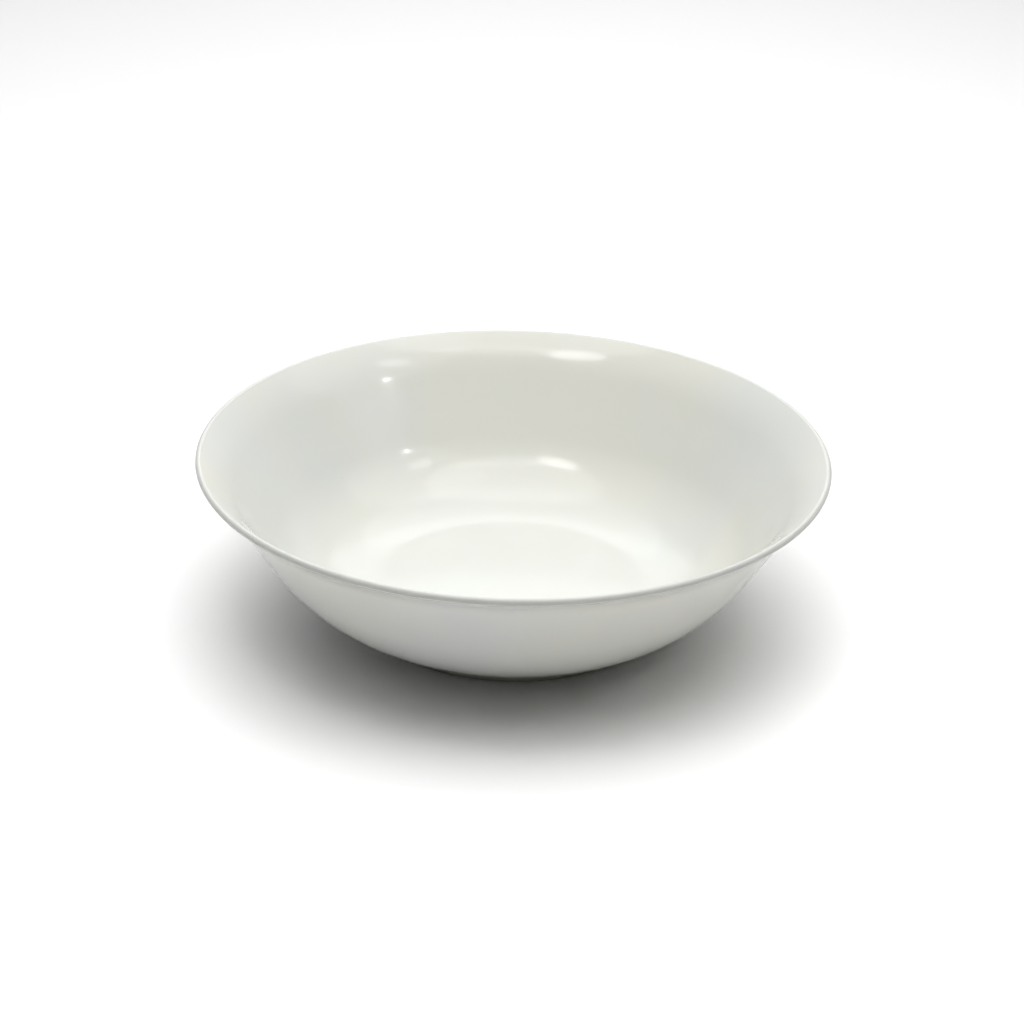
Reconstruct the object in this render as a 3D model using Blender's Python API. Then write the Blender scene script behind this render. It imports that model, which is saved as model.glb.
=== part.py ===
"""Porcelain evaporating dish: a wide bowl with a flared lip and a low foot ring.

The dish is one turned piece of fired porcelain, glazed inside and outside with its foot left bare.
Its skin is traced once, from the foot up the belly, round the rim and down to the middle of the floor.
The two coats of glaze are stretches of that skin, and the porcelain body lies just under them.
Metres, +Z up, origin at the centre of the standing face.
"""

import math

import bmesh
import bpy

# Outside of the dish
RIM_RADIUS = 0.1000
FOOT_RADIUS = 0.0485
FOOT_HEIGHT = 0.0030
BELLY_START = math.radians(19.0)  # slope where the belly leaves the foot
WALL_SLOPE = math.radians(57.5)  # steepest part of the side
LIP_SLOPE = math.radians(30.0)  # slope that the flare ends at
WALL_RUN = 0.0220  # straight stretch between the belly and the flare
FLARE_RADIUS = 0.0230

# Inside of the dish, where the flare is gentler and the floor is thick
INNER_LIP_SLOPE = math.radians(37.0)
INNER_WALL_SLOPE = math.radians(55.0)
INNER_WALL_RUN = 0.0225
INNER_FLARE_RADIUS = 0.0460
FLOOR_HEIGHT = 0.0084

# Thicknesses
RIM_EDGE = 0.0022
COAT = 0.0003  # each coat of glaze
JOINT_GAP = 0.0003  # between a coat and the body, and between the two coats
SKIN = COAT + JOINT_GAP
RIM_PARTING = JOINT_GAP / RIM_EDGE  # angle above and below the rim's widest line where the coats stop

# Foot ring
FOOT_FILLET = 0.0010  # radius of the hollow where the foot meets the belly
GLAZE_LINE = 0.0012  # height at which the outer glaze stops
STANDING_WIDTH = 0.0045  # flat that the dish rests on
FOOT_CHAMFER = 0.0006
RECESS_DEPTH = 0.0036
RECESS_SLOPE_WIDTH = 0.0020

# Belly radius that brings the flare out to the rim
BELLY_RADIUS = (
    RIM_RADIUS
    - FOOT_RADIUS
    - WALL_RUN * math.cos(WALL_SLOPE)
    - FLARE_RADIUS * (math.sin(WALL_SLOPE) - math.sin(LIP_SLOPE))
    - RIM_EDGE / 2 * (1 - math.sin(LIP_SLOPE))
) / (math.sin(WALL_SLOPE) - math.sin(BELLY_START))

# Facets
TURNS = 60
BELLY_STEPS = 6
FLARE_STEPS = 3
RIM_STEPS = 2  # below the widest line, and twice as many above it
INNER_FLARE_STEPS = 2
FLOOR_STEPS = 6
FILLET_STEPS = 2


def clear_scene():
    for obj in list(bpy.data.objects):
        bpy.data.objects.remove(obj, do_unlink=True)


def porcelain(name, color, roughness):
    material = bpy.data.materials.new(name)
    material.use_nodes = True
    shader = material.node_tree.nodes["Principled BSDF"]
    shader.inputs["Base Color"].default_value = (*color, 1.0)
    shader.inputs["Roughness"].default_value = roughness
    shader.inputs["Metallic"].default_value = 0.0
    return material


def arc(center, radius, start, end, steps):
    """Stations on an arc: a point and the angle of its outward normal, in the (radius, height) plane."""
    stations = []
    for step in range(steps + 1):
        angle = start + (end - start) * step / steps
        r = center[0] + radius * math.cos(angle)
        z = center[1] + radius * math.sin(angle)
        stations.append((r, z, angle))
    return stations


def hollow_arc(center, radius, start, end, steps):
    """The same on an arc that curves towards its centre, so that the normals point at the centre."""
    return [(r, z, angle + math.pi) for r, z, angle in arc(center, radius, start, end, steps)]


def sunk(stations, depth):
    """Points of a line of stations, moved straight into the material."""
    return [(r - depth * math.cos(angle), z - depth * math.sin(angle)) for r, z, angle in stations]


def outer_skin():
    """Stations from the glaze line up the outside to the start of the rim's round edge."""
    belly_center = (
        FOOT_RADIUS - BELLY_RADIUS * math.sin(BELLY_START),
        FOOT_HEIGHT + BELLY_RADIUS * math.cos(BELLY_START),
    )
    # The foot's side stands upright, and a small hollow turns it into the belly.
    turn = math.pi / 2 - BELLY_START
    fillet_height = FOOT_HEIGHT - FOOT_FILLET * math.tan(turn / 2)
    fillet_center = (FOOT_RADIUS + FOOT_FILLET, fillet_height)
    stations = [(FOOT_RADIUS, GLAZE_LINE, 0.0)]
    stations += hollow_arc(fillet_center, FOOT_FILLET, math.pi, math.pi / 2 + BELLY_START, FILLET_STEPS)
    stations += arc(
        belly_center, BELLY_RADIUS, BELLY_START - math.pi / 2, WALL_SLOPE - math.pi / 2, BELLY_STEPS
    )[1:]
    r, z, angle = stations[-1]
    r += WALL_RUN * math.cos(WALL_SLOPE)
    z += WALL_RUN * math.sin(WALL_SLOPE)
    flare_center = (r + FLARE_RADIUS * math.cos(angle), z + FLARE_RADIUS * math.sin(angle))
    stations += hollow_arc(
        flare_center,
        FLARE_RADIUS,
        WALL_SLOPE + math.pi / 2,
        LIP_SLOPE + math.pi / 2,
        FLARE_STEPS,
    )
    return stations


def rim_edge(outer):
    """Stations round the rim, as the stretch below its widest line and the stretch above it."""
    radius = RIM_EDGE / 2
    center = sunk([outer[-1]], radius)[0]
    below = arc(center, radius, LIP_SLOPE - math.pi / 2, -RIM_PARTING, RIM_STEPS)[1:]
    above = arc(center, radius, RIM_PARTING, INNER_LIP_SLOPE + math.pi / 2, 2 * RIM_STEPS)
    return below, above


def inner_skin(rim_top):
    """Stations from the end of the rim's round edge down the inside to the middle of the floor."""
    flare_center = sunk([rim_top], INNER_FLARE_RADIUS)[0]
    wall_angle = INNER_WALL_SLOPE + math.pi / 2
    stations = arc(flare_center, INNER_FLARE_RADIUS, rim_top[2], wall_angle, INNER_FLARE_STEPS)[1:]
    r, z, angle = stations[-1]
    r -= INNER_WALL_RUN * math.cos(INNER_WALL_SLOPE)
    z -= INNER_WALL_RUN * math.sin(INNER_WALL_SLOPE)
    # The floor's arc takes the slope to level, and from there the floor is flat.
    radius = (z - FLOOR_HEIGHT) / (1 - math.cos(INNER_WALL_SLOPE))
    center = (r + radius * math.cos(angle), z + radius * math.sin(angle))
    stations += hollow_arc(center, radius, angle - math.pi, -math.pi / 2, FLOOR_STEPS)
    stations.append((0.0, FLOOR_HEIGHT, math.pi / 2))
    return stations


def turned(name, outline, material):
    """A closed outline of (radius, height) points swept once round the Z axis."""
    bm = bmesh.new()
    verts = [bm.verts.new((r, 0.0, z)) for r, z in outline]
    edges = [bm.edges.new((a, b)) for a, b in zip(verts, verts[1:] + verts[:1])]
    bmesh.ops.spin(
        bm,
        geom=verts + edges,
        cent=(0.0, 0.0, 0.0),
        axis=(0.0, 0.0, 1.0),
        steps=TURNS,
        angle=2 * math.pi,
        use_merge=True,
    )
    bmesh.ops.remove_doubles(bm, verts=bm.verts, dist=1e-7)
    loose = [edge for edge in bm.edges if not edge.link_faces]
    bmesh.ops.delete(bm, geom=loose, context="EDGES")
    bmesh.ops.recalc_face_normals(bm, faces=bm.faces)
    mesh = bpy.data.meshes.new(name)
    bm.to_mesh(mesh)
    bm.free()
    mesh.shade_smooth()
    mesh.set_sharp_from_angle(angle=math.radians(35.0))
    mesh.materials.append(material)
    obj = bpy.data.objects.new(name, mesh)
    bpy.context.scene.collection.objects.link(obj)
    return obj


def make_body(skin):
    """The bare foot, and everything else one coat and one gap under the finished surface."""
    side = FOOT_RADIUS - SKIN
    bare_foot = [
        (0.0, RECESS_DEPTH),
        (side - STANDING_WIDTH - FOOT_CHAMFER - RECESS_SLOPE_WIDTH, RECESS_DEPTH),
        (side - STANDING_WIDTH - FOOT_CHAMFER, 0.0),
        (side - FOOT_CHAMFER, 0.0),
        (side, FOOT_CHAMFER),
    ]
    return turned("porcelain_body", bare_foot + sunk(skin, SKIN), porcelain("biscuit", (0.80, 0.79, 0.75), 0.6))


def make_coat(name, stretch):
    """A coat of glaze over a stretch of the skin."""
    outline = sunk(stretch, 0.0) + sunk(stretch, COAT)[::-1]
    return turned(name, outline, porcelain(name, (0.84, 0.85, 0.80), 0.12))


def make_dish():
    clear_scene()
    outer = outer_skin()
    below, above = rim_edge(outer)
    outside = outer + below
    inside = above + inner_skin(above[-1])
    make_body(outside + inside)
    # The coats nearly meet on the rim's widest line, so that no body shows there.
    make_coat("outer_glaze", outside)
    make_coat("inner_glaze", inside)


make_dish()
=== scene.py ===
import math

import bmesh
import bpy
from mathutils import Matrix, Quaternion, Vector


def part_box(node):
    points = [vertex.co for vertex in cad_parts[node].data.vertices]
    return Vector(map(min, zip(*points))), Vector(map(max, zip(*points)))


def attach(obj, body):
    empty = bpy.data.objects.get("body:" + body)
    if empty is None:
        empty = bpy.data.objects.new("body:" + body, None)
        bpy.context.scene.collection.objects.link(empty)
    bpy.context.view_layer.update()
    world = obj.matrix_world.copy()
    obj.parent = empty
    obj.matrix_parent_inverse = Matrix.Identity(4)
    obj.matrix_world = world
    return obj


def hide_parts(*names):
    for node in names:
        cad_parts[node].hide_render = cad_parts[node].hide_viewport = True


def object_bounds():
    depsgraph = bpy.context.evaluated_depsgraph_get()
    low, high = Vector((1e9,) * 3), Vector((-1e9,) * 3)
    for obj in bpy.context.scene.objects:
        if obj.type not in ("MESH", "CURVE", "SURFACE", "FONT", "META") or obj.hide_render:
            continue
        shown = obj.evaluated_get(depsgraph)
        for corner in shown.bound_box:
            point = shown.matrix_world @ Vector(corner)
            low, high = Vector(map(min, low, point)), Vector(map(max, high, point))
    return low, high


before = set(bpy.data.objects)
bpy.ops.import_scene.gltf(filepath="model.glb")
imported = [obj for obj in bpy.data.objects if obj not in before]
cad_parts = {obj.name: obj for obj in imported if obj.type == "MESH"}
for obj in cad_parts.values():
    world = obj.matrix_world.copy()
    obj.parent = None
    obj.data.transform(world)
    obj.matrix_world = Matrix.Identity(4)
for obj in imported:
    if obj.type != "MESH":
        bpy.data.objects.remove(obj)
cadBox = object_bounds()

bpy.context.scene.view_settings.view_transform = "Standard"


class Val:
    # One output of a node. Sums on it add Math nodes to its tree.
    def __init__(self, bench, socket):
        self.bench = bench
        self.socket = socket

    def maths(self, operation, *terms):
        return self.bench.make("ShaderNodeMath", {"operation": operation}, dict(enumerate(terms)))

    def __add__(self, other):
        return self.maths("ADD", self, other)

    def __radd__(self, other):
        return self.maths("ADD", other, self)

    def __sub__(self, other):
        return self.maths("SUBTRACT", self, other)

    def __rsub__(self, other):
        return self.maths("SUBTRACT", other, self)

    def __mul__(self, other):
        return self.maths("MULTIPLY", self, other)

    def __rmul__(self, other):
        return self.maths("MULTIPLY", other, self)

    def __truediv__(self, other):
        return self.maths("DIVIDE", self, other)

    def __mod__(self, other):
        return self.maths("MODULO", self, other)

    def __neg__(self):
        return self.maths("MULTIPLY", self, -1.0)

    def __gt__(self, other):
        return self.maths("GREATER_THAN", self, other)

    def sin(self):
        return self.maths("SINE", self)

    def cos(self):
        return self.maths("COSINE", self)

    def floor(self):
        return self.maths("FLOOR", self)

    def root(self):
        return self.maths("SQRT", self)

    def bearing(self, other):
        return self.maths("ARCTAN2", self, other)

    def part(self, name):
        return Val(self.bench, self.socket.node.outputs[name])

    def clamped(self):
        return self.bench.make("ShaderNodeClamp", {}, {"Value": self})

    def ease(self, low, high, start=0.0, end=1.0):
        # start below low, end above high, with a soft step between them
        settings = {"interpolation_type": "SMOOTHSTEP"}
        sockets = {"Value": self, "From Min": low, "From Max": high, "To Min": start, "To Max": end}
        return self.bench.make("ShaderNodeMapRange", settings, sockets)


class Bench:
    # Builds one node tree. Every node but Math is asked for by its type, settings and sockets.
    def __init__(self, tree):
        self.tree = tree

    def make(self, kind, settings=None, sockets=None, out=0):
        node = self.tree.nodes.new(kind)
        for name, value in (settings or {}).items():
            setattr(node, name, value)
        for name, value in (sockets or {}).items():
            self.plug(node.inputs[name], value)
        return Val(self, node.outputs[out]) if len(node.outputs) else node

    def vector(self, x, y, z):
        return self.make("ShaderNodeCombineXYZ", {}, {"X": x, "Y": y, "Z": z})

    def noise(self, place, scale, detail=2.0):
        # cloudy values round 0.5
        return self.make("ShaderNodeTexNoise", {}, {"Vector": place, "Scale": scale, "Detail": detail})

    def blend(self, amount, first, second):
        # a colour between two others
        return self.make("ShaderNodeMix", {"data_type": "RGBA"}, {0: amount, 6: first, 7: second}, 2)

    def plug(self, socket, value):
        if isinstance(value, Val):
            self.tree.links.new(value.socket, socket)
        else:
            socket.default_value = value


def sine(angle):
    return angle.sin() if isinstance(angle, Val) else math.sin(angle)


def cosine(angle):
    return angle.cos() if isinstance(angle, Val) else math.cos(angle)


glazeCoat = 0.0003
seamReach = 0.000002  # points closer than this are one point
sharpest = math.radians(40)  # the shading is smooth over gentler edges
up = math.radians(90)
inward = math.radians(180)

# All lengths are in metres. The lip, wall and floor have their own slopes outside and inside.
dish = {
    "rimRadius": cadBox[1].x,
    "height": cadBox[1].z,
    "glazeLine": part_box("outer_glaze")[0].z,  # the outer coat stops here
    "floorHeight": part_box("inner_glaze")[0].z + glazeCoat,
    "footRadius": 0.0485,
    "hollowRadius": 0.0010,  # where the foot turns into the belly
    "bellySlope": math.radians(20.0),
    "wallSlope": math.radians(57.5),
    "lipSlope": math.radians(30.0),
    "wallRun": 0.0220,  # straight stretch of the side
    "flareRadius": 0.0230,
    "edge": 0.0022,  # thickness of the rim, which is fully round
    "insideLipSlope": math.radians(37.0),
    "insideFlareRadius": 0.0460,
    "insideWallSlope": math.radians(55.0),
    "insideRun": 0.0225,
    "coat": glazeCoat,
    "waver": 0.00005,  # unevenness of a turned pot
    "waverScale": 28.0,  # per metre
}

footRing = {
    "recessDepth": 0.0036,
    "recessTurn": 0.0012,  # radius where the recess bends down into the ring
    "ringSlope": math.radians(60.0),
    "innerEdge": 0.0008,
    "standing": 0.0036,  # flat that the dish stands on
    "outerEdge": 0.0006,
}

# Rows of faces along each stretch. "turns" is the number once round.
facets = {
    "turns": 288,
    "side": 4,
    "hollow": 8,
    "belly": 32,
    "wall": 12,
    "flare": 20,
    "rimUnder": 12,
    "rimOver": 24,
    "floorTurn": 40,
    "floor": 16,
    "recess": 8,
    "footTurn": 6,
}


def lineMove(length, heading, rowCount):
    return {"kind": "line", "length": length, "start": heading, "rows": rowCount}


def leftMove(radius, start, end, rowCount):
    return {"kind": "turn", "radius": radius, "start": start, "end": end, "rows": rowCount}


def rightMove(radius, start, end, rowCount):
    return leftMove(-radius, start, end, rowCount)


def walk(row, place, moves):
    # Makes the moves one after another in the (radius, height) plane, with the porcelain on the left.
    # Gives the place and the heading at a row.
    r, z = place
    heading = moves[0]["start"]
    done = 0
    for move in moves:
        share = ((row - done) / move["rows"]).clamped()
        done += move["rows"]
        if move["kind"] == "line":
            r = r + share * (move["length"] * cosine(move["start"]))
            z = z + share * (move["length"] * sine(move["start"]))
        else:
            swing = share * (move["end"] - move["start"])
            now = swing + move["start"]
            r = r + move["radius"] * (now.sin() - sine(move["start"]))
            z = z - move["radius"] * (now.cos() - cosine(move["start"]))
            heading = heading + swing
    return r, z, heading


def rowsIn(moves):
    return sum(move["rows"] for move in moves)


def outsideMoves(size):
    # From the glaze line up the foot, hollow, belly, wall and flare to the rim's widest line.
    belly, wall, lip = size["bellySlope"], size["wallSlope"], size["lipSlope"]
    edge = size["edge"] / 2
    across = (
        size["rimRadius"]
        - size["footRadius"]
        - size["hollowRadius"] * (1 - belly.sin())
        - size["wallRun"] * wall.cos()
        - size["flareRadius"] * (wall.sin() - lip.sin())
        - edge * (1 - lip.sin())
    )
    bellyRadius = across / (wall.sin() - belly.sin())
    climb = (
        size["hollowRadius"] * belly.cos()
        + bellyRadius * (belly.cos() - wall.cos())
        + size["wallRun"] * wall.sin()
        + size["flareRadius"] * (lip.cos() - wall.cos())
        + edge * lip.cos()
    )
    side = size["height"] - edge - climb - size["glazeLine"]
    start = size["footRadius"], size["glazeLine"]
    return start, [
        lineMove(side, up, facets["side"]),
        rightMove(size["hollowRadius"], up, belly, facets["hollow"]),
        leftMove(bellyRadius, belly, wall, facets["belly"]),
        lineMove(size["wallRun"], wall, facets["wall"]),
        rightMove(size["flareRadius"], wall, lip, facets["flare"]),
        leftMove(edge, lip, up, facets["rimUnder"]),
    ]


def insideMoves(size):
    # From the rim's widest line over its top and down to the middle of the floor.
    wall, lip = size["insideWallSlope"], size["insideLipSlope"]
    edge = size["edge"] / 2
    drop = (
        size["height"]
        - edge
        + edge * lip.cos()
        - size["insideFlareRadius"] * (lip.cos() - wall.cos())
        - size["insideRun"] * wall.sin()
        - size["floorHeight"]
    )
    floorTurn = drop / (1 - wall.cos())
    floorRadius = (
        size["rimRadius"]
        - edge * (1 + lip.sin())
        - size["insideFlareRadius"] * (wall.sin() - lip.sin())
        - size["insideRun"] * wall.cos()
        - floorTurn * wall.sin()
    )
    start = size["rimRadius"], size["height"] - edge
    return start, [
        leftMove(edge, up, lip + inward, facets["rimOver"]),
        leftMove(size["insideFlareRadius"], lip + inward, wall + inward, facets["flare"]),
        lineMove(size["insideRun"], wall + inward, facets["wall"]),
        rightMove(floorTurn, wall + inward, inward, facets["floorTurn"]),
        lineMove(floorRadius, inward, facets["floor"]),
    ]


def footMoves(size):
    # From the middle of the recess under the dish, round the foot ring and up to the glaze line.
    side = size["footRadius"] - size["coat"]
    slope = size["ringSlope"]
    fall = size["recessDepth"] - (size["recessTurn"] + size["innerEdge"]) * (1 - slope.cos())
    slant = fall / slope.sin()
    recess = (
        side
        - size["outerEdge"]
        - size["standing"]
        - (size["innerEdge"] + size["recessTurn"]) * slope.sin()
        - slant * slope.cos()
    )
    start = 0.0, size["recessDepth"]
    down = -slope
    return start, [
        lineMove(recess, 0.0, facets["recess"]),
        rightMove(size["recessTurn"], 0.0, down, facets["footTurn"]),
        lineMove(slant, down, 2),
        leftMove(size["innerEdge"], down, 0.0, facets["footTurn"]),
        lineMove(size["standing"], 0.0, 2),
        leftMove(size["outerEdge"], 0.0, up, facets["footTurn"]),
        lineMove(size["glazeLine"] - size["outerEdge"], up, 2),
    ]


def newTree(name, sizes):
    # An empty Geometry Nodes tree with a named input for each size, and the values to give a modifier.
    tree = bpy.data.node_groups.new(name, "GeometryNodeTree")
    tree.interface.new_socket(name="Geometry", in_out="OUTPUT", socket_type="NodeSocketGeometry")
    for label in sizes:
        tree.interface.new_socket(name=label, in_out="INPUT", socket_type="NodeSocketFloat")
    tree.interface.new_socket(name="material", in_out="INPUT", socket_type="NodeSocketMaterial")
    bench = Bench(tree)
    inputs = tree.nodes.new("NodeGroupInput")
    return bench, {socket.name: Val(bench, socket) for socket in inputs.outputs if socket.name}


def gridRow(bench, rowCount):
    # The row and the turn angle of each point of a grid that will be rolled round the Z axis.
    index = bench.make("GeometryNodeInputIndex")
    across = facets["turns"] + 1
    row = (index / across + 0.5 / across).floor()
    angle = (index - row * across) * (2 * math.pi / facets["turns"])
    grid = bench.make("GeometryNodeMeshGrid", {}, {"Vertices X": rowCount, "Vertices Y": across})
    return grid, row, angle


def roll(bench, grid, angle, r, z, size):
    # Puts the grid's points on the turned surface, closes its seams and ends the tree.
    place = bench.vector(r * angle.cos(), r * angle.sin(), z)
    moved = bench.make("GeometryNodeSetPosition", {}, {"Geometry": grid, "Position": place})
    closed = bench.make("GeometryNodeMergeByDistance", {}, {"Geometry": moved, "Distance": seamReach})
    real = bench.make("GeometryNodeRealizeInstances", {}, {"Geometry": closed})
    skinned = bench.make("GeometryNodeSetMaterial", {}, {"Geometry": real, "Material": size["material"]})
    bench.make("NodeGroupOutput", {}, {"Geometry": skinned})


def wavered(bench, r, z, heading, angle, size, depth):
    # A place on the skin, pushed in by depth and out by the slight unevenness of a turned pot.
    noise = bench.noise(bench.vector(r * angle.cos(), r * angle.sin(), z), size["waverScale"], 1.0)
    shift = (noise - 0.5) * 2.0 * size["waver"] - depth
    return r + shift * heading.sin(), z - shift * heading.cos()


def coatTree(name, movesOf):
    # A coat of glaze: rows along its skin and back along its underside.
    bench, size = newTree(name, dish)
    start, moves = movesOf(size)
    last = rowsIn(moves)
    grid, row, angle = gridRow(bench, 2 * last + 3)
    loop = row % (2 * last + 2)
    under = loop > last + 0.5
    station = loop + under * (2 * last + 1 - loop * 2)
    r, z, heading = walk(station, start, moves)
    r, z = wavered(bench, r, z, heading, angle, size, under * size["coat"])
    roll(bench, grid, angle, r, z, size)
    return bench.tree


def bodyTree(name):
    # The porcelain: rows round the bare foot, then just under both coats.
    bench, size = newTree(name, {**dish, **footRing})
    footStart, foot = footMoves(size)
    skinStart, outside = outsideMoves(size)
    skin = outside + insideMoves(size)[1]
    footRows, skinRows = rowsIn(foot), rowsIn(skin)
    grid, row, angle = gridRow(bench, footRows + skinRows + 2)
    onSkin = row > footRows + 0.5
    footR, footZ = walk(row, footStart, foot)[:2]
    skinR, skinZ, heading = walk(row - footRows - 1, skinStart, skin)
    skinR, skinZ = wavered(bench, skinR, skinZ, heading, angle, size, size["coat"])
    r = footR + onSkin * (skinR - footR)
    z = footZ + onSkin * (skinZ - footZ)
    roll(bench, grid, angle, r, z, size)
    return bench.tree


def grow(name, tree, sizes, material):
    # Runs a tree on an empty mesh and keeps the result as a plain mesh object.
    holder = bpy.data.objects.new(name, bpy.data.meshes.new(name))
    bpy.context.scene.collection.objects.link(holder)
    modifier = holder.modifiers.new("turned", "NODES")
    modifier.node_group = tree
    for socket in tree.interface.items_tree:
        if socket.in_out == "INPUT":
            modifier[socket.identifier] = material if socket.name == "material" else sizes[socket.name]
    evaluated = holder.evaluated_get(bpy.context.evaluated_depsgraph_get())
    mesh = bpy.data.meshes.new_from_object(evaluated)
    if mesh.materials[0] is None:  # an empty slot that came with the grid
        mesh.materials.pop(index=0)
    holder.modifiers.clear()
    holder.data = mesh
    mesh.name = name
    tidyMesh(mesh)
    return holder


def tidyMesh(mesh):
    # Drops what a closed pole leaves over, turns the faces outwards and smooths them.
    bm = bmesh.new()
    bm.from_mesh(mesh)
    bmesh.ops.delete(bm, geom=[edge for edge in bm.edges if not edge.link_faces], context="EDGES")
    bmesh.ops.recalc_face_normals(bm, faces=bm.faces)
    if bm.calc_volume(signed=True) < 0:
        bmesh.ops.reverse_faces(bm, faces=bm.faces)
    bm.to_mesh(mesh)
    bm.free()
    mesh.shade_smooth()
    mesh.set_sharp_from_angle(angle=sharpest)


def newMaterial(name):
    material = bpy.data.materials.new(name)
    material.use_nodes = True
    material.node_tree.nodes.clear()
    return material, Bench(material.node_tree)


def scaled(tone, factors):
    return (*(channel * factor for channel, factor in zip(tone, factors)), 1.0)


glaze = {
    "insideTone": (0.622, 0.627, 0.595),
    # the same glaze as inside, made lighter here as painted light on the outside
    "litOutsideTone": (0.690, 0.694, 0.666),
    "cream": (1.012, 1.004, 0.965),  # times the tone, in slow patches
    "grey": (0.982, 0.990, 1.006),
    "patches": 16.0,  # per metre, as the other scales are
    "patchBand": (0.35, 0.65),  # noise values that a mask runs between, as the other bands are
    "pooledInside": (0.975, 0.988, 0.975),  # where the melt ran together and is thick
    "pooledAndShadedOutside": (0.62, 0.62, 0.55),  # the same round the foot, where its dark tone is also painted shade under the belly
    "insideDepth": 0.0090,  # how far up the melt gathered
    "outsideDepth": 0.0030,
    "poolScale": 60.0,
    "poolBand": (0.3, 0.6),
    "poolLeast": 0.4,
    "rimShadeTone": (0.520, 0.525, 0.500, 1.0),  # over the rim, where the coat is thin and matt; its darker tone is painted shade on the round edge
    "rimRoughness": 0.22,  # added to the gloss there
    "rimBand": (0.9, 0.3),  # from where to where, in thicknesses of the rim
    "speck": (0.34, 0.27, 0.19, 1.0),  # iron in the clay
    "speckStrength": 0.6,
    "speckCells": 105.0,
    "speckSize": 0.022,  # in cells
    "roughness": 0.10,
    "film": 0.04,  # dried haze on top of the gloss
    "filmScale": 90.0,
    "filmBand": (0.4, 0.75),
    "scratches": 0.06,
    "scratchTurns": 5.0,
    "scratchLines": 2600.0,
    "scratchBand": (0.62, 0.72),
    "wearScale": 45.0,
    "wearBand": (0.45, 0.65),
    "stirredInside": 1.0,  # how worn the coat is by a stirring rod
    "stirredOutside": 0.2,
    "peel": 0.0000030,  # height of the orange peel
    "peelScale": 240.0,
    "ringHeight": 0.0000040,  # turning rings
    "ringScale": 420.0,
    "ringTurns": 0.6,
    "pinhole": 0.000030,
    "pinholeCells": 150.0,
    "pinholeSize": 0.03,  # in cells
    "ior": 1.5,
}


def turnedCoordinates(bench):
    # Where a point lies: its place, distance from the axis, bearing and height.
    place = bench.make("ShaderNodeTexCoord", {}, {}, "Object")
    x = bench.make("ShaderNodeSeparateXYZ", {}, {"Vector": place}, "X")
    y, height = x.part("Y"), x.part("Z")
    return place, (x * x + y * y).root(), y.bearing(x), height


def dots(bench, place, cells, size):
    # Sparse round spots, 1 in their middle. Only cells whose middle lies on the skin show one.
    middle = bench.make("ShaderNodeTexVoronoi", {}, {"Vector": place, "Scale": cells}, "Distance")
    return middle.ease(size * 0.5, size, 1.0, 0.0)


def streaks(bench, radius, bearing, height, lines, turns):
    # Fine lines that follow the turning of the dish, broken up along their length.
    along = bench.vector(radius * lines, bearing * turns, height * lines)
    return bench.noise(along, 1.0, 3.0)


def makeGlaze(name, tone, poolAndShadeTone, poolAndShadeBand, stirred):
    # the band of heights given is where the melt gathered, and on the outside also where painted shade
    # darkens the glaze round the foot
    material, bench = newMaterial(name)
    place, radius, bearing, height = turnedCoordinates(bench)

    drift = bench.noise(place, glaze["patches"]).ease(*glaze["patchBand"])
    color = bench.blend(drift, scaled(tone, glaze["grey"]), scaled(tone, glaze["cream"]))
    clouds = bench.noise(place, glaze["poolScale"]).ease(*glaze["poolBand"], glaze["poolLeast"], 1.0)
    # pooled glaze tone in that band; on the outside, near the foot, it is mostly painted shade
    poolAndShadeMask = height.ease(*poolAndShadeBand, 1.0, 0.0) * clouds
    color = bench.blend(poolAndShadeMask, color, scaled(tone, poolAndShadeTone))
    # the rim gets a darker tone, painted shade on its round edge, and a matt gloss
    onRim = radius.ease(*(dish["rimRadius"] - dish["edge"] * share for share in glaze["rimBand"]))
    color = bench.blend(onRim, color, glaze["rimShadeTone"])
    specks = dots(bench, place, glaze["speckCells"], glaze["speckSize"])
    color = bench.blend(specks * glaze["speckStrength"], color, glaze["speck"])

    rubbed = streaks(bench, radius, bearing, height, glaze["scratchLines"], glaze["scratchTurns"])
    worn = bench.noise(place, glaze["wearScale"]).ease(*glaze["wearBand"])
    worn = rubbed.ease(*glaze["scratchBand"]) * worn * stirred
    haze = bench.noise(place, glaze["filmScale"], 4.0).ease(*glaze["filmBand"])
    roughness = haze * glaze["film"] + worn * glaze["scratches"] + glaze["roughness"]
    roughness = roughness + onRim * glaze["rimRoughness"]

    peel = bench.noise(place, glaze["peelScale"]) * glaze["peel"]
    rings = streaks(bench, radius, bearing, height, glaze["ringScale"], glaze["ringTurns"])
    rings = rings * glaze["ringHeight"]
    holes = dots(bench, place, glaze["pinholeCells"], glaze["pinholeSize"]) * glaze["pinhole"]
    relief = bench.make("ShaderNodeBump", {}, {"Distance": 1.0, "Height": peel + rings - holes})

    shader = bench.make(
        "ShaderNodeBsdfPrincipled",
        {},
        {"Base Color": color, "Roughness": roughness, "IOR": glaze["ior"], "Normal": relief},
    )
    bench.make("ShaderNodeOutputMaterial", {}, {"Surface": shader})
    return material


biscuit = {
    # tone is darker than bare porcelain is, as painted shade on the foot under the dish
    "tone": (0.46, 0.45, 0.40),
    "dusty": (0.86, 0.84, 0.80),  # times the tone, in the pores
    "sooty": (0.30, 0.29, 0.27, 1.0),  # rubbed in where the foot stands on iron gauze
    "sootStrength": 0.8,
    "sootGloss": 0.15,
    "sootScale": 110.0,
    "sootBand": (0.4, 0.6),
    "sootReach": 0.0004,  # up from what the dish stands on
    "rubLines": 1500.0,
    "rubTurns": 14.0,
    "rubBand": (0.45, 0.62),
    "grain": 2200.0,
    "grainBand": (0.3, 0.7),
    "grainRoughness": 0.2,
    "grainHeight": 0.000035,
    "pores": 900.0,
    "poreSize": 0.35,  # in cells
    "poreStrength": 0.5,
    "poreDepth": 0.000050,
    "roughness": 0.62,
}


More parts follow.
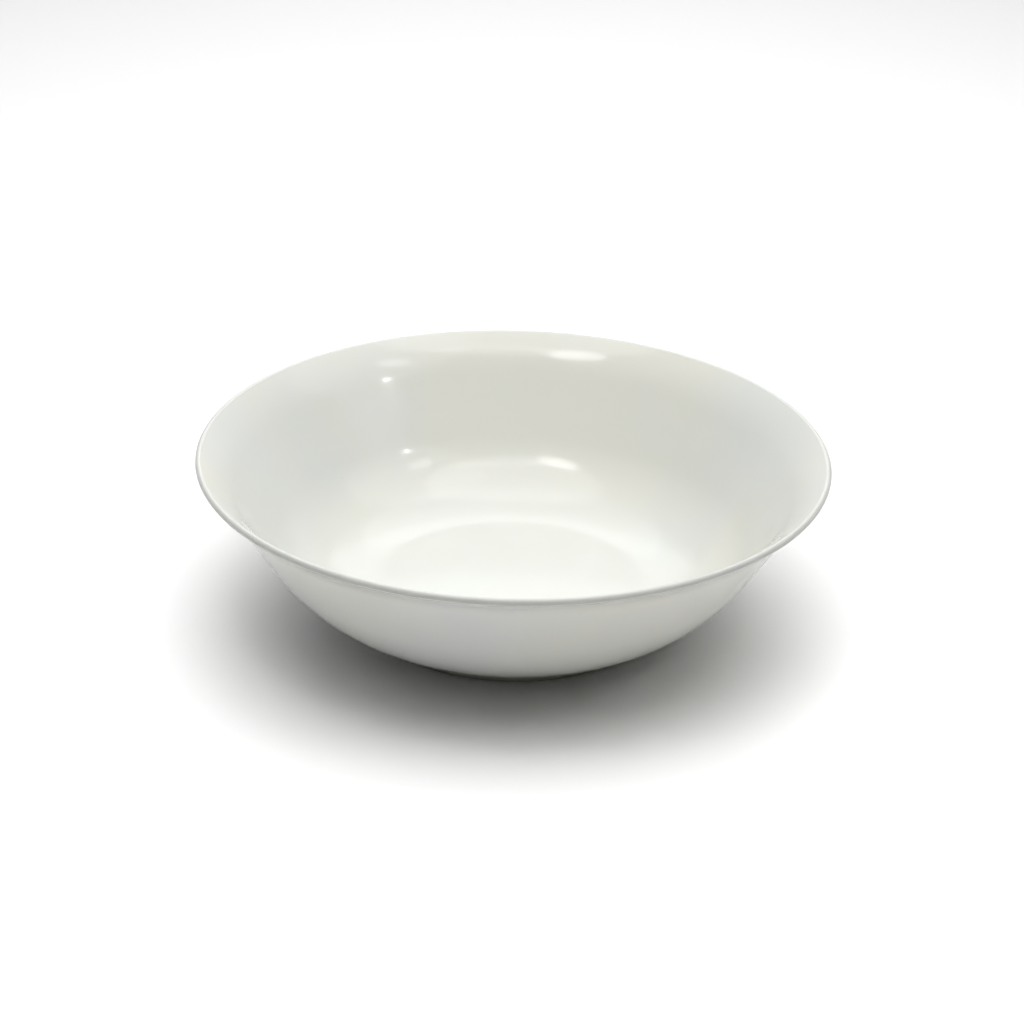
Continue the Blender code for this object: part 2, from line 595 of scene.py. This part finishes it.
def makeBiscuit():
    # Bare fired porcelain: sandy grain, open pores and grey rubs on what the dish stands on.
    material, bench = newMaterial("barePorcelain")
    place, radius, bearing, height = turnedCoordinates(bench)
    grain = bench.noise(place, biscuit["grain"], 3.0)
    pores = dots(bench, place, biscuit["pores"], biscuit["poreSize"])
    dusty = scaled(biscuit["tone"], biscuit["dusty"])
    color = bench.blend(grain.ease(*biscuit["grainBand"]), dusty, (*biscuit["tone"], 1.0))
    color = bench.blend(pores * biscuit["poreStrength"], color, dusty)
    standing = height.ease(0.0, biscuit["sootReach"], 1.0, 0.0)
    rubbed = streaks(bench, radius, bearing, height, biscuit["rubLines"], biscuit["rubTurns"])
    clouds = bench.noise(place, biscuit["sootScale"]).ease(*biscuit["sootBand"])
    soot = standing * rubbed.ease(*biscuit["rubBand"]) * clouds
    color = bench.blend(soot * biscuit["sootStrength"], color, biscuit["sooty"])
    roughness = grain * biscuit["grainRoughness"] - soot * biscuit["sootGloss"] + biscuit["roughness"]
    heights = grain * biscuit["grainHeight"] - pores * biscuit["poreDepth"]
    relief = bench.make("ShaderNodeBump", {}, {"Distance": 1.0, "Height": heights})
    shader = bench.make(
        "ShaderNodeBsdfPrincipled", {}, {"Base Color": color, "Roughness": roughness, "Normal": relief}
    )
    bench.make("ShaderNodeOutputMaterial", {}, {"Surface": shader})
    return material


biscuitMaterial = makeBiscuit()
outsideMaterial = makeGlaze(
    "glazeOutside",
    glaze["litOutsideTone"],
    glaze["pooledAndShadedOutside"],
    (dish["glazeLine"], dish["glazeLine"] + glaze["outsideDepth"]),
    glaze["stirredOutside"],
)
insideMaterial = makeGlaze(
    "glazeInside",
    glaze["insideTone"],
    glaze["pooledInside"],
    (dish["floorHeight"], dish["floorHeight"] + glaze["insideDepth"]),
    glaze["stirredInside"],
)
print("materials ready")

body = grow("porcelainBody", bodyTree("turnedBody"), {**dish, **footRing}, biscuitMaterial)
outerGlaze = grow("outerGlaze", coatTree("outerCoat", outsideMoves), dish, outsideMaterial)
innerGlaze = grow("innerGlaze", coatTree("innerCoat", insideMoves), dish, insideMaterial)

for piece, node, slot in (
    (body, "porcelain_body", "biscuit_porcelain"),
    (outerGlaze, "outer_glaze", "clear_glaze_outside"),
    (innerGlaze, "inner_glaze", "clear_glaze_inside"),
):
    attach(piece, "root")
    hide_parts(node)
    print("piece", piece.name, len(piece.data.polygons), "faces")


room = {
    "floorSize": 8.0,
    "floorTone": (0.92, 0.92, 0.92, 1.0),
    "floorRoughness": 0.6,
    "sky": 0.074,
    "skyTone": (1.0, 1.0, 1.0, 1.0),
    "backGlow": 0.60,  # of a pale wall low behind the dish
    "glowTurn": (0.0, 0.7),  # it comes in between these, from the side towards the back
    "glowTop": (0.1, 0.6),  # and goes out between these, upwards
}


def makeFloor():
    bm = bmesh.new()
    bmesh.ops.create_grid(bm, x_segments=1, y_segments=1, size=room["floorSize"] / 2)
    mesh = bpy.data.meshes.new("tableTop")
    bm.to_mesh(mesh)
    bm.free()
    material, bench = newMaterial("paleTable")
    sockets = {"Base Color": room["floorTone"], "Roughness": room["floorRoughness"]}
    shader = bench.make("ShaderNodeBsdfPrincipled", {}, sockets)
    bench.make("ShaderNodeOutputMaterial", {}, {"Surface": shader})
    mesh.materials.append(material)
    top = bpy.data.objects.new("tableTop", mesh)
    bpy.context.scene.collection.objects.link(top)


def makeSky():
    world = bpy.data.worlds.new("softRoom")
    world.use_nodes = True
    bench = Bench(world.node_tree)
    ahead = bench.make("ShaderNodeTexCoord", {}, {}, "Generated")
    back = bench.make("ShaderNodeSeparateXYZ", {}, {"Vector": ahead}, "Y")
    glow = back.ease(*room["glowTurn"]) * back.part("Z").ease(*room["glowTop"], 1.0, 0.0)
    backdrop = world.node_tree.nodes["Background"].inputs
    bench.plug(backdrop["Color"], room["skyTone"])
    bench.plug(backdrop["Strength"], glow * room["backGlow"] + room["sky"])
    bpy.context.scene.world = world


# Angles are in degrees, seen from lampTarget. Azimuth 0 is behind the dish and 90 to its right.
lamps = [
    {"name": "ceiling", "elevation": 90, "azimuth": 0, "distance": 0.915, "size": 1.2, "power": 7.5},
    {"name": "frontLeftBox", "elevation": 72, "azimuth": -135, "distance": 0.9, "size": 0.8, "power": 2.1},
    {"name": "frontRightBox", "elevation": 72, "azimuth": 135, "distance": 0.88, "size": 0.8, "power": 1.1},
    {"name": "rightWall", "elevation": 58, "azimuth": 90, "distance": 1.0, "size": 0.9, "power": 1.4},
    {"name": "behind", "elevation": 58, "azimuth": 0, "distance": 1.02, "size": 0.9, "power": 1.5},
    {"name": "backWall", "elevation": 38, "azimuth": 0, "distance": 1.0, "size": 0.9, "power": 0.95},
    {"name": "farBackdrop", "elevation": 30, "azimuth": 0, "distance": 2.6, "size": 2.0, "power": 8.0},
    {"name": "sheen", "elevation": 90, "azimuth": 0, "distance": 0.93, "size": 0.83, "power": 2.3},
    {"name": "strip", "elevation": 75, "azimuth": 171, "distance": 0.82, "size": 0.50, "power": 0.11},
    {"name": "leftBulb", "elevation": 68, "azimuth": -137, "distance": 0.8, "size": 0.22, "power": 0.39},
    {"name": "rightBulb", "elevation": 57.6, "azimuth": 107, "distance": 0.8, "size": 0.16, "power": 0.092},
    {"name": "smallLamp", "elevation": 45.3, "azimuth": 112.5, "distance": 0.78, "size": 0.02, "power": 0.09},
]
unseenLamps = "ceiling", "frontLeftBox", "frontRightBox"  # too diffuse to show in the glaze
glossLamps = ("sheen",)  # seen in the glaze and lighting nothing
narrowLamps = {"strip": 0.07, "leftBulb": 0.12, "rightBulb": 0.09}  # their size across
lampTarget = Vector((0.0, 0.0, 0.03))


def makeLamps():
    for lamp in lamps:
        data = bpy.data.lights.new(lamp["name"], "AREA")
        data.shape = "ELLIPSE"
        data.size = lamp["size"]
        data.size_y = narrowLamps.get(lamp["name"], lamp["size"])
        data.energy = lamp["power"]
        box = bpy.data.objects.new(lamp["name"], data)
        elevation, azimuth = math.radians(lamp["elevation"]), math.radians(lamp["azimuth"])
        level = math.cos(elevation)
        away = Vector((level * math.sin(azimuth), level * math.cos(azimuth), math.sin(elevation)))
        box.location = lampTarget + away * lamp["distance"]
        box.rotation_euler = away.to_track_quat("Z", "Y").to_euler()
        box.visible_glossy = lamp["name"] not in unseenLamps
        box.visible_diffuse = lamp["name"] not in glossLamps
        bpy.context.scene.collection.objects.link(box)


camera = {
    "elevation": 26.16,  # degrees
    "distance": 1.0,
    "aim": (-0.00015, 0.0, 0.03498),
    "lens": 110.57,
    "sensor": 36.0,
    "roll": 1.326,  # degrees
}


def makeCamera():
    data = bpy.data.cameras.new("view")
    data.lens = camera["lens"]
    data.sensor_width = camera["sensor"]
    view = bpy.data.objects.new("view", data)
    elevation = math.radians(camera["elevation"])
    back = Vector((0.0, -math.cos(elevation), math.sin(elevation)))
    view.location = Vector(camera["aim"]) + back * camera["distance"]
    view.rotation_mode = "QUATERNION"
    tilt = Quaternion((0.0, 0.0, 1.0), math.radians(camera["roll"]))
    view.rotation_quaternion = back.to_track_quat("Z", "Y") @ tilt
    bpy.context.scene.collection.objects.link(view)
    bpy.context.scene.camera = view


makeFloor()
makeSky()
makeLamps()
makeCamera()
print("room ready")
